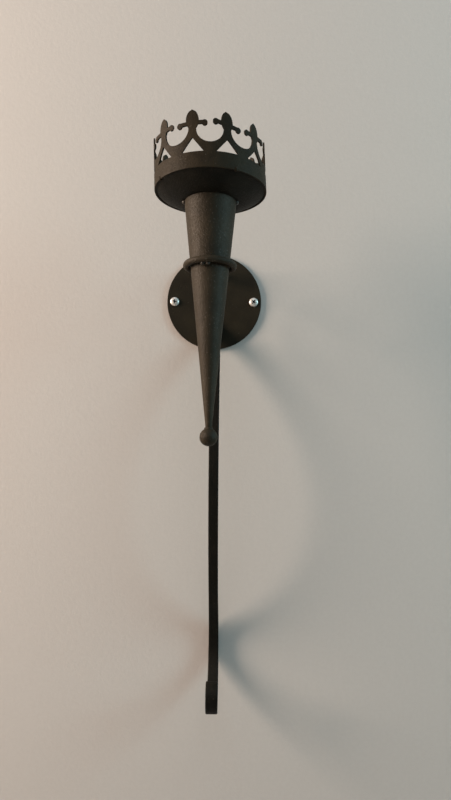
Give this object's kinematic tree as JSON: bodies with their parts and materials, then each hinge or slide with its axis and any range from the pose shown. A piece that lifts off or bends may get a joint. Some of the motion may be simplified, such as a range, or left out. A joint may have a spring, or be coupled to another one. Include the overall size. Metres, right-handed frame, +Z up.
{
  "type": "torch sconce",
  "caption": "Wall torch sconce of black wrought steel: fleur-de-lis crown on a tapered torch, held by a ring, a scroll and a bowed bar with a tail hook.",
  "frame": {"origin": "centre of the wall plate's back face, half way between the two wall screws", "axes": "+Z up along the wall, +Y into the wall, -Y out into the room, +X to the right as seen from the room"},
  "size_m": [0.1, 0.2192, 0.5194],
  "materials": {
    "black_paint": "satin, slightly rough",
    "zinc_screws": "bright zinc"
  },
  "bodies": {
    "root": {"wall_plate": "black_paint", "wall_screws": "zinc_screws", "scroll_bar": "black_paint", "bow_bar": "black_paint", "holder_ring": "black_paint", "torch_cone": "black_paint", "ball_finial": "black_paint", "drip_pan": "black_paint", "crown_band": "black_paint", "rim_tacks": "black_paint", "cone_tacks": "black_paint", "ring_tacks": "black_paint", "scroll_welds": "black_paint", "bow_welds": "black_paint", "ring_weld": "black_paint", "tip_weld": "black_paint"}
  },
  "joints": []
}
